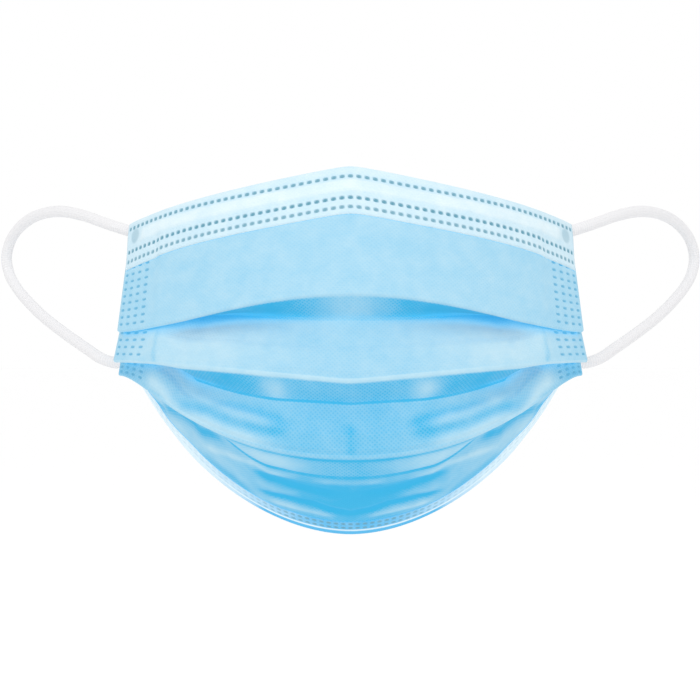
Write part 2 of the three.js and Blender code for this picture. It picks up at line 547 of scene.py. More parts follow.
def add_shader(tree: bpy.types.NodeTree, settings: dict, links: dict) -> None:
    """Adds the material's surface shader and output.

    Args:
        tree: The material's node tree.
        settings: Values of the shader's own sockets.
        links: Sockets that feed its other ones.
    """
    shader = add_node(tree, "ShaderNodeBsdfPrincipled", settings, links)
    add_node(tree, "ShaderNodeOutputMaterial", links={"Surface": shader.outputs["BSDF"]})


@dataclass(frozen=True)
class SpunbondFinish:
    """Spunbond polypropylene: fine fibres laid at random and spot-bonded by a hot roller.

    It looks chalky and matt. The folds and the chin, where it lies several layers deep, are painted a
    stronger blue than the panels that face the light, as painted shade, and it glows a little by emission,
    as painted light.

    Attributes:
        name: The finish's name.
        pale: Its colour in one lit layer.
        deep: Its colour in the folds, a painted shade.
        weld: Its colour where a hot die has pressed the plies to a film.
        bond_pitch: From one bond spot to the next, in mm.
        bond_depth: How strongly the bond spots show.
        cloud: Size of its thick and thin places, in mm.
        fibre: Length and width of the strands that show, in mm.
        roughness: Roughness of the fibres.
        glow: Painted light: how strongly it glows all over by emission, against what it gives back from in
            front.
        shelter: Painted shade: how much bluer it is painted deep in a fold.
        gather: Painted light: how much more it glows by emission where a fold keeps the light off it.
        glow_colour: The colour of that light.
        fold_reach: How far off a fold can be and still keep the light off it, in mm.
    """

    name: str
    pale: str
    deep: str
    weld: str
    bond_pitch: float = 0.95
    bond_depth: float = 0.11
    cloud: float = 7.0
    fibre: tuple[float, float] = (3.2, 0.35)
    roughness: float = 0.88
    glow: float = 0.37
    shelter: float = 0.7
    gather: float = 0.33
    glow_colour: str = "#58c4ee"
    fold_reach: float = 4.0

    def bond_spots(self, tree: bpy.types.NodeTree, flat: bpy.types.NodeSocket) -> bpy.types.NodeSocket:
        """Returns the pattern of the hot roller's spots, as 1 in a spot."""
        cells = add_node(
            tree,
            "ShaderNodeTexVoronoi",
            {".voronoi_dimensions": "2D", ".feature": "F1", "Scale": 1.0, "Randomness": 0.12},
            {"Vector": mapped(tree, flat, (FLAT_SPAN / self.bond_pitch,) * 3, 45)},
        )
        return ranged(tree, cells.outputs["Distance"], 0.42, 0.18, soft=True)

    def strands(self, tree: bpy.types.NodeTree, flat: bpy.types.NodeSocket) -> bpy.types.NodeSocket:
        """Returns the pattern of the drawn fibres."""
        length, width = self.fibre
        noise = add_node(
            tree,
            "ShaderNodeTexNoise",
            {".noise_dimensions": "2D", "Scale": 1.0, "Detail": 3.0, "Roughness": 0.6},
            {"Vector": mapped(tree, flat, (FLAT_SPAN / length, FLAT_SPAN / width, 1.0), 8)},
        )
        return noise.outputs["Fac"]

    def material(self) -> bpy.types.Material:
        """Returns a new material with this finish."""
        material, tree = new_material(self.name)
        flat = add_node(tree, "ShaderNodeUVMap", {".uv_map": "flat"}).outputs["UV"]
        tint = add_node(tree, "ShaderNodeAttribute", {".attribute_name": "tint"}).outputs["Fac"]
        weld = add_node(tree, "ShaderNodeAttribute", {".attribute_name": "weld"}).outputs["Fac"]
        sky_settings = {".samples": 8, "Distance": self.fold_reach * MM}
        open_sky = add_node(tree, "ShaderNodeAmbientOcclusion", sky_settings).outputs["AO"]
        shaded_side = ranged(tree, open_sky, 0.95, 0.35)
        deep_shade = ranged(tree, open_sky, 0.58, 0.34)
        spots = self.bond_spots(tree, flat)
        fibres = self.strands(tree, flat)
        clouds = add_node(
            tree,
            "ShaderNodeTexNoise",
            {".noise_dimensions": "2D", "Scale": FLAT_SPAN / self.cloud, "Detail": 5.0, "Roughness": 0.62},
            {"Vector": flat},
        ).outputs["Fac"]
        # Bond spots show more where the cloth is a deeper blue, and clouds and strands mottle it everywhere.
        spot_strength = calculated(tree, "MULTIPLY_ADD", tint, self.bond_depth * 2.2, 0.02)
        spotted = calculated(tree, "MULTIPLY_ADD", spots, spot_strength, tint)
        cloudy = calculated(tree, "MULTIPLY_ADD", clouds, 0.34, -0.17)
        fibrous = calculated(tree, "MULTIPLY_ADD", fibres, 0.16, cloudy)
        mottled = calculated(tree, "ADD", spotted, fibrous)
        # Painted shade: the tint mark holds painted shade and light, and deep in a fold, where ambient
        # occlusion finds the light kept off, the colour goes further towards the deep blue.
        depth = calculated(tree, "MULTIPLY_ADD", deep_shade, self.shelter, mottled, clamp=True)
        colour = blended(tree, weld, blended(tree, depth, self.pale, self.deep), self.weld)
        # Painted light: the cloth glows by emission, more beside a fold, where shade falls, and less deep in
        # it, so that its shade stays a bright blue.
        glow_share = calculated(tree, "MULTIPLY_ADD", deep_shade, -0.9, shaded_side)
        through = calculated(tree, "MULTIPLY_ADD", glow_share, self.gather, self.glow)
        relief = calculated(tree, "MULTIPLY_ADD", spots, -0.7, fibres)
        bump_settings = {"Strength": 0.35, "Distance": 0.12 * MM}
        bump = add_node(tree, "ShaderNodeBump", bump_settings, {"Height": relief})
        add_shader(
            tree,
            {"Roughness": self.roughness, "IOR": 1.49, "Specular IOR Level": 0.15, "Sheen Weight": 0.06},
            {
                "Base Color": colour,
                "Emission Color": blended(tree, shaded_side, colour, self.glow_colour),
                "Emission Strength": through,
                "Normal": bump.outputs["Normal"],
            },
        )
        return material


@dataclass(frozen=True)
class ElasticFinish:
    """Knitted elastic: soft covered yarn in fine upright wales, slightly fluffy and quite matt.

    Attributes:
        name: The finish's name.
        crest: Colour on the wales.
        groove: Colour between the stitches, a little darker: painted shade in the grooves.
        stitch: Length of a stitch along the cord, in mm.
    """

    name: str = "knitted elastic"
    crest: str = "#e6e5e6"
    groove: str = "#dfdfe1"
    stitch: float = 0.9

    def material(self) -> bpy.types.Material:
        """Returns a new material with this finish."""
        material, tree = new_material(self.name)
        flat = add_node(tree, "ShaderNodeUVMap", {".uv_map": "flat"}).outputs["UV"]
        knit = mapped(tree, flat, (FLAT_SPAN / self.stitch, FLAT_SPAN / self.stitch, 1.0))
        stitches = add_node(
            tree,
            "ShaderNodeTexWave",
            {
                ".wave_type": "BANDS",
                ".bands_direction": "Y",
                "Scale": 0.31,
                "Distortion": 1.4,
                "Detail": 2.0,
            },
            {"Vector": knit},
        )
        fluff = add_node(
            tree, "ShaderNodeTexNoise", {"Scale": 1.6, "Detail": 4.0, "Roughness": 0.65}, {"Vector": knit}
        )
        yarn = calculated(tree, "MULTIPLY", stitches.outputs["Fac"], fluff.outputs["Fac"])
        level = ranged(tree, yarn, 0.05, 0.5)
        bump = add_node(tree, "ShaderNodeBump", {"Strength": 0.3, "Distance": 0.15 * MM}, {"Height": level})
        # Painted shade: the yarn is a little darker in the grooves between the stitches.
        add_shader(
            tree,
            {"Roughness": 0.92, "IOR": 1.5, "Specular IOR Level": 0.2, "Sheen Weight": 0.1},
            {"Base Color": blended(tree, level, self.groove, self.crest), "Normal": bump.outputs["Normal"]},
        )
        return material


@dataclass(frozen=True)
class CoatedWireFinish:
    """Soft steel wire in extruded polyethylene: white, smooth, with a low satin gloss.

    Attributes:
        name: The finish's name.
        coat: Colour of the coating.
        drawn: Colour of its faint draw lines.
        draw_line: Length and width of a draw line, in mm.
    """

    name: str = "polyethylene coated wire"
    coat: str = "#f4f6f7"
    drawn: str = "#e3e8ea"
    draw_line: tuple[float, float] = (12.0, 0.4)

    def material(self) -> bpy.types.Material:
        """Returns a new material with this finish."""
        material, tree = new_material(self.name)
        place = add_node(tree, "ShaderNodeTexCoord").outputs["Object"]
        length, width = (1 / (size * MM) for size in self.draw_line)
        stretched = mapped(tree, place, (length, length, width))
        lines = add_node(tree, "ShaderNodeTexNoise", {"Scale": 1.0, "Detail": 2.0}, {"Vector": stretched})
        colour = blended(tree, lines.outputs["Fac"], self.drawn, self.coat)
        add_shader(tree, {"Roughness": 0.42, "IOR": 1.51}, {"Base Color": colour})
        return material


@dataclass(frozen=True)
class DotRow:
    """A row or column of weld dots, in mm or in shares of a run.

    Attributes:
        first: Where its first dot is.
        pitch: From one dot to the next.
        count: How many dots there are.
    """

    first: float
    pitch: float
    count: int

    def places(self) -> np.ndarray:
        """Returns where the dots are."""
        return self.first + self.pitch * np.arange(self.count)

    def ruling(self, half: float) -> np.ndarray:
        """Returns the places of the mesh lines that a dot of that half size needs."""
        edges = np.array((-1.3, -0.9, -0.3, 0.3, 0.9, 1.3)) * half
        return (self.places()[:, None] + edges).ravel()

    def miss(self, value: np.ndarray) -> np.ndarray:
        """Returns how far each value is from the nearest dot."""
        return np.abs(value[..., None] - self.places()).min(axis=-1)


def dot_mark(
    across: np.ndarray, down: np.ndarray, half: tuple[float, float], squareness: float = 4.0
) -> np.ndarray:
    """Draws rounded weld dots.

    Args:
        across: How far each place is from a dot's centre across the cloth, in mm.
        down: The same down the cloth.
        half: Half of a dot's length and height.
        squareness: 2 for an oval, and more for a fuller shape.

    Returns:
        1 in a dot, 0 outside it and a slope between.
    """
    far = (np.abs(across / half[0]) ** squareness + np.abs(down / half[1]) ** squareness) ** (1 / squareness)
    return 1.0 - eased(0.8, 1.25, far)


@dataclass(frozen=True)
class Crease:
    """A soft fold or dent in a panel, drawn on both halves of the mask, with painted shade or light along
    it; some have no depth and are only painted shadow lines.

    Attributes:
        run: The run of the cloth that it lies in.
        path: Points along it, each as a share of the half width and a share of the run.
        width: How wide it is, in mm.
        depth: How far it stands out of the panel, in mm. A dent's is negative.
        tint: How much bluer it is than the panel: painted shade where it is positive and painted light where
            it is negative.
    """

    run: int
    path: tuple[tuple[float, float], ...]
    width: float
    depth: float
    tint: float


@dataclass(frozen=True)
class Relief:
    """The soft folds and dents that all plies of the cloth share.

    Attributes:
        form: The folded surface that they lie on.
        puff: How far the panels stand out where they leave the side weld, in mm.
        puffed_runs: The panels that do.
        puff_end: Shares of the half width between which that ends.
        puff_top: Share of a lower panel where it starts, below the ridge that covers it.
        puff_rise: Share of a panel over which it rises.
        still: Share of a run, at each end of it, over which the cloth goes back to its smooth form.
        creases: The folds and dents.
    """

    form: PleatedForm
    puff: float = 0.6
    puffed_runs: tuple[int, ...] = (0, 4, 8)
    puff_end: tuple[float, float] = (0.745, 0.79)
    puff_top: float = 0.46
    puff_rise: float = 0.15
    still: float = 0.12
    # The last number of each crease is painted shade when positive and painted light when negative, in the
    # outer ply's colour.
    creases: tuple[Crease, ...] = (
        Crease(4, ((0.765, 0.40), (0.735, 1.10)), 0.9, 0.0, 0.25),
        Crease(8, ((0.64, 0.74), (0.52, 0.64), (0.40, 0.71), (0.29, 0.66), (0.18, 0.64)), 2.0, -0.5, 0.26),
        Crease(8, ((0.52, 0.33), (0.40, 0.33), (0.33, 0.30), (0.25, 0.37), (0.18, 0.50)), 1.7, -0.6, 0.20),
        Crease(8, ((0.60, 0.45), (0.45, 0.44), (0.33, 0.46), (0.25, 0.55)), 1.5, 0.5, -0.20),
        Crease(8, ((0.85, 0.95), (0.68, 0.95), (0.50, 0.94), (0.33, 0.93), (0.24, 0.92)), 2.8, 0.3, -0.38),
        Crease(8, ((0.00, 0.35), (0.00, 1.05)), 1.2, -0.2, 0.12),
        Crease(10, ((0.47, 0.05), (0.20, 0.05), (-0.20, 0.05)), 0.9, 0.0, 0.50),
        Crease(
            12,
            ((0.91, 0.98), (0.805, 0.77), (0.74, 0.60), (0.67, 0.41), (0.57, 0.21), (0.49, 0.07)),
            1.9,
            -0.4,
            0.50,
        ),
        Crease(12, ((0.62, 0.62), (0.49, 0.29), (0.36, 0.06), (0.27, 0.09), (0.21, 0.09)), 1.4, 0.3, -0.30),
        Crease(12, ((0.68, 0.92), (0.60, 0.80), (0.47, 0.74), (0.38, 0.82)), 2.4, 0.0, 0.30),
        Crease(
            12, ((0.38, 0.25), (0.285, 0.21), (0.21, 0.21), (0.105, 0.23), (0.03, 0.22)), 1.9, -0.75, 0.55
        ),
        Crease(12, ((0.36, 0.42), (0.25, 0.37), (0.18, 0.34)), 1.7, 0.3, -0.14),
        Crease(
            12, ((0.37, 0.62), (0.257, 0.51), (0.145, 0.47), (0.073, 0.55), (-0.05, 0.64)), 1.4, -0.75, 0.60
        ),
        Crease(12, ((0.33, 0.68), (0.20, 0.63), (0.12, 0.63), (0.05, 0.68)), 2.0, 0.6, -0.42),
        Crease(12, ((0.14, 0.07), (-0.14, 0.07)), 1.3, 0.2, -0.25),
    )

    def flat_place(self, u: np.ndarray, shares: np.ndarray, run: int) -> tuple[np.ndarray, np.ndarray]:
        """Lays places of a run out flat.

        Args:
            u: Shares of the half width.
            shares: Shares of the run.
            run: The run.

        Returns:
            How far each place is from the middle of the mask and from the top of its run, in mm.
        """
        length = self.form.run_length(u.ravel(), run).reshape(u.shape)
        return u * self.form.half_width, shares * length

    def along(self, crease: Crease, u: np.ndarray, runs: np.ndarray, shares: np.ndarray) -> np.ndarray:
        """Works out how much of a crease there is at each place.

        Args:
            crease: The crease.
            u: Shares of the half width, one for each column.
            runs: The run that each row lies in.
            shares: How far along its run each place is, as columns by rows.

        Returns:
            1 on the crease's line, less beside it and 0 away from it.
        """
        knot_u, knot_share = np.array(crease.path).T
        knots = np.stack(self.flat_place(knot_u, knot_share, crease.run), axis=-1)
        steps = np.diff(knots, axis=0)
        sizes = np.linalg.norm(steps, axis=1)
        starts = np.concatenate(((0.0,), np.cumsum(sizes)))
        across, down = self.flat_place(np.abs(u)[:, None], shares, crease.run)
        nearest = np.full(shares.shape, 1e9)
        reached = np.zeros(shares.shape)
        for knot, step, size, start in zip(knots, steps, sizes, starts):
            x, w = across - knot[0], down - knot[1]
            t = np.clip((x * step[0] + w * step[1]) / size**2, 0.0, 1.0)
            gap = np.hypot(x - t * step[0], w - t * step[1])
            reached = np.where(gap < nearest, (start + t * size) / starts[-1], reached)
            nearest = np.minimum(gap, nearest)
        faded = eased(-0.05, 0.2, reached) * (1 - eased(0.8, 1.05, reached))
        return np.where(runs[None, :] == crease.run, faded * np.exp(-((nearest / crease.width) ** 2)), 0.0)

    def lift(self, u: np.ndarray, runs: np.ndarray, shares: np.ndarray) -> np.ndarray:
        """Works out how far the cloth stands out of its smooth form.

        Args:
            u: Shares of the half width, one for each column.
            runs: The run that each row lies in.
            shares: How far along its run each place is, as columns by rows.

        Returns:
            The distances, as columns by rows, in mm.
        """
        start = np.where(runs == 0, 0.0, self.puff_top)[None, :]
        panel = np.where(np.isin(runs, self.puffed_runs), self.puff, 0.0)[None, :]
        inside = (1 - eased(*self.puff_end, np.abs(u)))[:, None]
        lifts = panel * inside * eased(start, start + self.puff_rise, shares)
        for crease in self.creases:
            lifts = lifts + crease.depth * self.along(crease, u, runs, shares)
        return lifts * eased(0, self.still, shares) * (1 - eased(1 - self.still, 1, shares))


@dataclass(frozen=True)
class ShadingPatch:
    """A soft spot of painted shade, in a stronger blue, where its tint is positive, and of painted light, in
    a paler blue, where it is negative; drawn on both halves of the mask.

    Attributes:
        run: The run of the cloth that it lies in.
        u: Its centre and reach across, as shares of the half width.
        share: Its centre and reach down, as shares of the run.
        tint: How much it adds to the tint.
    """

    run: int
    u: tuple[float, float]
    share: tuple[float, float]
    tint: float


@dataclass
class OuterPly:
    """The blue cloth on the outside of the mask.

    Attributes:
        form: The folded surface that it lies on.
        relief: The soft folds in it.
        bands: The bands that are welded to it; not used.
        lift: From that surface to the middle of the ply, in mm.
        thickness: The ply's thickness, in mm.
        dot: Half of a weld dot's length and height, in mm.
        dot_depth: How deep a weld dot is pressed, in mm.
        side_columns: The columns of weld dots, by their distance from the side edge, in mm.
        panel_rows: For each panel, its run, how its rows of dots slant and the rows, as shares of the run.
        run_steps: Mesh rows in each run of the cloth.
        run_shading: How blue each run is.
        shading_patches: Where it is bluer or paler.
        open_columns: Mesh columns from the middle to the side weld.
        weld_edge: Share of the half width where the weld's own columns start.
        slanted_rows: Mesh rows of a panel with slanted rows of dots.
        weld_show: How strongly a weld dot shows.
        finish: Its finish.
    """

    form: PleatedForm
    relief: Relief
    bands: list[bpy.types.Object]
    lift: float = 0.2
    thickness: float = 0.25
    dot: tuple[float, float] = (0.95, 0.45)
    dot_depth: float = 0.22
    side_columns: DotRow = DotRow(2.0, 4.2, 4)
    panel_rows: tuple[tuple[int, float, DotRow], ...] = (
        (0, 0.0, DotRow(0.405, 0.0688, 9)),
        (4, 0.0, DotRow(0.49, 0.134, 4)),
        (8, 0.43, DotRow(0.552, 0.131, 4)),
    )
    run_steps: tuple[int, ...] = (34, 10, 9, 10, 30, 10, 9, 10, 40, 10, 9, 10, 54)
    # Painted shade: the under layers and valley folds, which face down into the recesses, are painted a much
    # deeper blue than the panels, and the lower panels a little deeper than the top one; the ridge of the
    # second pleat gets a painted highlight.
    run_shading: tuple[float, ...] = (
        *(0.22, 0.20, 0.90, 0.80),
        *(0.28, 0.05, 0.68, 0.85),
        *(0.42, 0.45, 0.70, 0.85),
        0.42,
    )
    # Painted shade and light: soft spots painted a deeper blue where shade falls and a paler blue where the
    # light falls.
    shading_patches: tuple[ShadingPatch, ...] = (
        ShadingPatch(2, (0.00, 0.15), (0.5, 1.5), -0.55),
        ShadingPatch(3, (0.00, 0.20), (0.5, 1.5), -0.40),
        ShadingPatch(4, (0.35, 0.18), (0.0, 0.06), 0.35),
        ShadingPatch(4, (0.60, 0.30), (0.6, 0.60), -0.30),
        ShadingPatch(6, (0.26, 0.05), (0.6, 0.60), -0.45),
        ShadingPatch(6, (0.46, 0.15), (0.5, 1.50), 0.15),
        ShadingPatch(8, (0.00, 0.32), (0.5, 0.90), 0.18),
        ShadingPatch(8, (0.66, 0.12), (0.3, 0.30), -0.10),
        ShadingPatch(8, (0.92, 0.12), (0.85, 0.50), 0.14),
        ShadingPatch(9, (0.55, 0.25), (0.5, 1.5), -0.35),
        ShadingPatch(10, (0.30, 0.15), (0.6, 0.60), -0.55),
        ShadingPatch(12, (0.00, 0.30), (0.4, 0.55), 0.55),
        ShadingPatch(12, (0.80, 0.25), (0.8, 0.50), -0.20),
    )
    open_columns: int = 62
    weld_edge: float = 0.81
    slanted_rows: int = 90
    weld_show: float = 0.88
    finish: SpunbondFinish = SpunbondFinish("spunbond blue", "#a5c0cb", "#3099c2", "#5291b0")

    def columns(self) -> np.ndarray:
        """Returns the mesh columns as shares of the half width."""
        weld = 1 - self.side_columns.ruling(self.dot[0]) / self.form.half_width
        weld = weld[weld < 0.999]
        open_part = np.linspace(0, self.form.weld_start, self.open_columns)
        half = ruled(open_part, np.array((self.weld_edge, 1.0)), weld, closest=0.001)
        return np.concatenate((-half[:0:-1], half))

    def weld_rows(self, places: np.ndarray, run: int, slant: float, rows: DotRow) -> np.ndarray:
        """Adds the mesh rows that a panel's weld dots need.

        Args:
            places: The panel's other mesh rows, as shares of its run.
            run: The panel's run.
            slant: How the rows of dots slant. A slanted panel gets an even fine ruling.
            rows: The rows of dots.

        Returns:
            All mesh rows of the panel.
        """
        if slant:
            return np.linspace(0, 1, self.slanted_rows)
        length = float(self.form.run_length(np.array((0.9,)), run)[0])
        half = self.dot[1] / length
        lines = rows.ruling(half)
        merged = ruled(places[:-1], lines[lines < 0.99], closest=0.2 * half)
        return np.append(merged, 1.0)

    def rows(self) -> tuple[np.ndarray, np.ndarray]:
        """Returns the run of each mesh row and its share of that run."""
        runs, shares = [], []
        dotted = {entry[0]: entry for entry in self.panel_rows}
        for run, steps in enumerate(self.run_steps):
            places = np.linspace(0, 1, steps + 1)
            if run in dotted:
                places = self.weld_rows(places, *dotted[run])
            if run:
                places = places[1:]
            runs.append(np.full(len(places), run))
            shares.append(places)
        return np.concatenate(runs), np.concatenate(shares)

    def tinted(self, u: np.ndarray, runs: np.ndarray, shares: np.ndarray) -> np.ndarray:
        """Returns how blue each place of the mesh is, from pale at 0 to deep at 1: the cloth's own blue with
        painted shade and light on it.
        """
        tints = np.array(self.run_shading)[runs][None, :] * np.ones((len(u), 1))
        for patch in self.shading_patches:
            across = (np.abs(u) - patch.u[0]) / patch.u[1]
            down = (shares - patch.share[0]) / patch.share[1]
            soft = np.exp(-(across[:, None] ** 2) - down[None, :] ** 2)
            tints += np.where(runs[None, :] == patch.run, patch.tint * soft, 0)
        places = np.tile(shares, (len(u), 1))
        # Painted shade along the dents and shadow lines, and painted light along the folds that stand out.
        for crease in self.relief.creases:
            tints += crease.tint * self.relief.along(crease, u, runs, places)
        return np.clip(tints, 0, 1)

    def welded(self, u: np.ndarray, runs: np.ndarray, shares: np.ndarray) -> np.ndarray:
        """Returns where the weld dots are, as 1 in a dot."""
        marks = np.zeros((len(u), len(runs)))
        across = self.side_columns.miss((1 - np.abs(u)) * self.form.half_width)
        for run, slant, rows in self.panel_rows:
            length = self.form.run_length(u, run)[:, None]
            down = rows.miss(shares[None, :] + slant * (1 - np.abs(u))[:, None]) * length
            marks += np.where(runs[None, :] == run, dot_mark(across[:, None], down, self.dot), 0)
        return marks

    def build(self) -> bpy.types.Object:
        """Returns the ply as an object."""
        u = self.columns()
        runs, shares = self.rows()
        places = np.tile(shares, (len(u), 1))
        grid = self.form.surface(u, runs, places)
        normals = outward(grid)
        weld = self.welded(u, runs, shares)
        lift = self.lift + self.relief.lift(u, runs, places) - self.dot_depth * weld
        flat = flat_map(u * self.form.half_width + FLAT_SPAN / 2, distances(grid[len(u) // 2]))
        marks = {"tint": self.tinted(u, runs, shares), "weld": self.weld_show * weld}
        piece = cloth_mesh("outer_ply", grid + normals * lift[..., None], flat, marks)
        thicken(piece, self.thickness)
        return piece

    def dress(self, piece: bpy.types.Object) -> None:
        """Gives the ply its finish and its place in the frame."""
        piece.data.materials.append(self.finish.material())
        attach(piece, "root")
        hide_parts("pleated_body")


@dataclass
class InnerPly:
    """The white cloth that lies on the face.

    Attributes:
        form: The folded surface that it lies on.
        relief: The soft folds in it.
        lift: From that surface to the middle of the ply, in mm.
        thickness: The ply's thickness, in mm.
        run_steps: Mesh rows in each run of the cloth.
        columns: How many mesh columns it has.
        reach: Its half width as a share of the mask's.
        tint: How blue it is all over.
        finish: Its finish.
    """

    form: PleatedForm
    relief: Relief
    lift: float = -0.26
    thickness: float = 0.25
    run_steps: tuple[int, ...] = (16, 8, 6, 8, 16, 8, 6, 8, 36, 8, 6, 8, 50)
    columns: int = 161
    reach: float = 0.998
    tint: float = 0.15
    finish: SpunbondFinish = SpunbondFinish(
        "spunbond white", "#e8edf0", "#c4dbe7", "#b9ccd5", bond_depth=0.3, glow=0.0, gather=0.0
    )

    def build(self) -> bpy.types.Object:
        """Returns the ply as an object."""
        u = np.linspace(-self.reach, self.reach, self.columns)
        steps = [np.linspace(0, 1, count + 1)[min(run, 1) :] for run, count in enumerate(self.run_steps)]
        runs = np.repeat(np.arange(len(steps)), [len(places) for places in steps])
        places = np.tile(np.concatenate(steps), (len(u), 1))
        grid = self.form.surface(u, runs, places)
        lift = self.lift + self.relief.lift(u, runs, places)
        flat = flat_map(u * self.form.half_width + FLAT_SPAN / 2, distances(grid[len(u) // 2]))
        plain = np.zeros(grid.shape[:2])
        marks = {"tint": plain + self.tint, "weld": plain}
        piece = cloth_mesh("inner_ply", grid + outward(grid) * lift[..., None], flat, marks)
        thicken(piece, self.thickness)
        return piece

    def dress(self, piece: bpy.types.Object) -> None:
        """Gives the ply its finish and its place in the frame."""
        piece.data.materials.append(self.finish.material())
        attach(piece, "root")


class Edge(Enum):
    """The edge of the cloth that a band is folded over."""

    TOP = 0
    BOTTOM = 12


@dataclass
class EdgeBand:
    """A pale strip that is folded over an edge of the mask and welded down with rows of dots.

    Attributes:
        form: The folded surface under it.
        relief: The soft folds in that surface.
        name: The CAD node that it stands for.
        edge: The edge that it is folded over.
        height: How far it reaches from the edge, in mm.
        dot_rows: How far each row of dots is from the edge, in mm.
        row_strengths: How strongly each row is pressed, where 1 is fully.
        finish: Its finish.
        dot_pitch: From one dot to the next, in mm.
        dot: Half of a dot's length and height, in mm.
        dot_depth: How deep a dot is pressed, in mm.
        wire: Where the wire under it starts and ends, from the edge, in mm, or none.
        middle_tint: How blue it is at the middle of the mask.
        side_tint: How blue it is at the sides.
        edge_tint: How much bluer a strip along its folded edge is; the bands give it a negative value, a
            painted highlight where the fold catches the light.
        edge_strip: Where that strip starts and ends, from the edge of the cloth, in mm.
        lip_tint: How much bluer it is outside that strip, near the middle of the mask: painted shade on the
            part of the fold that faces down.
        reach: Its half length as a share of the mask's half width.
        stand_off: From the middle surface of the cloth to the middle of the band, in mm.
        overhang: How far it reaches past the edge of the cloth, in mm.
        slip: How much nearer to the edge it lies at the sides, in mm.
        slip_span: Shares of the half width between which that comes about.
        wire_lift: How much further out it lies over the wire, in mm.
        wire_end: Shares of the half width between which it comes down past the wire's end.
        fading: How much fainter its dots are at the sides.
        fading_span: Shares of the half width between which they fade.
        free_edge: How wide its free edge is, and how far that is pressed in, in mm.
        thickness: Its thickness, in mm.
        lip_steps: Mesh rows round the folded edge.
        tuck: Mesh rows behind the cloth, by their distance from the fold, in mm.
        spots: Larger welds, by share of the half width, distance from the edge and half sizes in mm.
        spot_show: How strongly they show.
        flat_start: Where the edge of the cloth lies in the band's UV map, in mm.
    """

    form: PleatedForm
    relief: Relief
    name: str
    edge: Edge
    height: float
    dot_rows: tuple[float, ...]
    row_strengths: tuple[float, ...]
    finish: SpunbondFinish
    dot_pitch: float = 2.5
    dot: tuple[float, float] = (0.74, 0.62)
    dot_depth: float = 0.22
    wire: tuple[float, float] | None = None
    middle_tint: float = 0.2
    side_tint: float = 0.2
    edge_tint: float = 0.0
    edge_strip: tuple[float, float] = (-9.0, 0.6)
    lip_tint: float = 0.0
    reach: float = 0.99
    stand_off: float = 0.52
    overhang: float = 1.25
    slip: float = 1.3
    slip_span: tuple[float, float] = (0.15, 0.7)
    wire_lift: float = 0.72
    wire_end: tuple[float, float] = (0.86, 0.9)
    fading: float = 0.0
    fading_span: tuple[float, float] = (0.1, 0.5)
    free_edge: tuple[float, float] = (1.2, 0.16)
    thickness: float = 0.3
    lip_steps: int = 8
    tuck: tuple[float, ...] = (0.5, 1.0, 1.6, 2.4)
    spots: tuple[tuple[float, float, float, float], ...] = ()
    spot_show: float = 0.36
    flat_start: float = 20.0

    def columns(self) -> np.ndarray:
        """Returns the mesh columns as shares of the half width."""
        count = int(self.reach * self.form.half_width / self.dot_pitch)
        dots = DotRow(-count * self.dot_pitch, self.dot_pitch, 2 * count + 1)
        lines = dots.ruling(self.dot[0]) / self.form.half_width
        ends = np.array((-self.reach, self.reach))
        return ruled(lines[np.abs(lines) < self.reach - 0.002], ends, closest=0.0005)

    def rows(self) -> np.ndarray:
        """Returns the mesh rows as distances from the edge at the middle of the mask, in mm."""
        dots = [DotRow(row, 1.0, 1).ruling(self.dot[1]) for row in self.dot_rows]
        plain = np.linspace(-self.overhang, self.height, 16)
        bends = [np.array((end - 0.9, end - 0.3, end + 0.3, end + 0.9)) for end in self.wire or ()]
        return ruled(plain, *dots, *bends, closest=0.12)

    def drawn_in(self, u: np.ndarray, down: np.ndarray) -> np.ndarray:
        """Returns the rows' true distances from the edge of the cloth, as columns by rows, in mm."""
        strip = self.overhang + self.dot_rows[0] - self.dot[1]
        share = np.clip((down + self.overhang) / strip, 0, 1)
        if self.edge is Edge.BOTTOM:
            share = np.maximum(down, 0) / self.height
        return down[None, :] - self.slip * eased(*self.slip_span, np.abs(u))[:, None] * share[None, :]

    def marks(self, u: np.ndarray, down: np.ndarray) -> np.ndarray:
        """Returns where the weld dots and spots are, as 1 in a dot."""
        far = np.abs(u)[:, None] * self.form.half_width
        across = np.abs((far + self.dot_pitch / 2) % self.dot_pitch - self.dot_pitch / 2)
        weld = np.zeros((len(u), len(down)))
        for row, strength in zip(self.dot_rows, self.row_strengths):
            weld = np.maximum(weld, strength * dot_mark(across, np.abs(down - row)[None, :], self.dot))
        weld = weld * (1 - self.fading * eased(*self.fading_span, np.abs(u)))[:, None]
        for spot_u, spot_down, half_u, half_down in self.spots:
            centre = spot_u * self.form.half_width
            spot = dot_mark(far - centre, (down - spot_down)[None, :], (half_u, half_down), squareness=2.0)
            weld = np.maximum(weld, self.spot_show * spot)
        return weld

    def over_wire(self, u: np.ndarray, down: np.ndarray) -> np.ndarray:
        """Returns how much of each place lies over the wire."""
        if not self.wire:
            return np.zeros((len(u), len(down)))
        top, bottom = self.wire
        rise = eased(top - 0.9, top + 0.2, down) * (1 - eased(bottom - 0.2, bottom + 0.9, down))
        return rise[None, :] * (1 - eased(*self.wire_end, np.abs(u)))[:, None]

    def tints(self, u: np.ndarray, down: np.ndarray, wire: np.ndarray) -> np.ndarray:
        """Works out how blue the band is, with its painted highlight and painted shade along the fold.

        Args:
            u: Shares of the half width, one for each column.
            down: Distances from the edge, one for each row, in mm.
            wire: How much of each place lies over the wire.

        Returns:
            The tints, as columns by rows.
        """
        side = eased(0.0, 0.75, np.abs(u))[:, None]
        central = 1 - eased(0.12, 0.5, np.abs(u))[:, None]
        start, end = self.edge_strip
        strip = eased(start - 0.3, start, down) * (1 - eased(end, end + 0.3, down))
        lip_side = 1 - eased(start - 0.5, start - 0.2, down)
        tint = self.middle_tint + (self.side_tint - self.middle_tint) * side - 0.16 * wire
        # Painted highlight along the fold's edge, and painted shade on the lip under it.
        return tint + (self.edge_tint * strip)[None, :] + self.lip_tint * central * lip_side[None, :]

